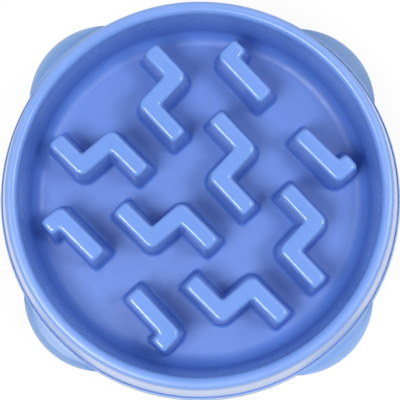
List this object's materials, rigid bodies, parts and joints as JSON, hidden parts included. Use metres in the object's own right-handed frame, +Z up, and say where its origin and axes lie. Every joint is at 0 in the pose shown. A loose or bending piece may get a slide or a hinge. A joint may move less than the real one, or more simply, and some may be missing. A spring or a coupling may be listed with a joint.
{
  "type": "slow feeder bowl",
  "caption": "Round pet feeding bowl with a maze of hollow zig-zag ridges on its floor, a flared skirt with lobed feet and soft non-slip pads.",
  "frame": {"origin": "on the table plane under the middle of the bowl, on the axis of the rim", "axes": "+Z up along the rim's axis, +X to the picture's right, +Y to the picture's top, so the front is -Y; the lobes lie on the diagonals between X and Y, turned 1.1 degrees clockwise from them"},
  "size_m": [0.216, 0.216, 0.04],
  "materials": {
    "shell": "glossy moulded periwinkle blue polypropylene",
    "pad": "matt soft slate blue elastomer"
  },
  "bodies": {
    "root": {"bowl_shell": "shell", "foot_pad_front_left": "pad", "foot_pad_front_right": "pad", "foot_pad_back_left": "pad", "foot_pad_back_right": "pad"}
  },
  "joints": []
}
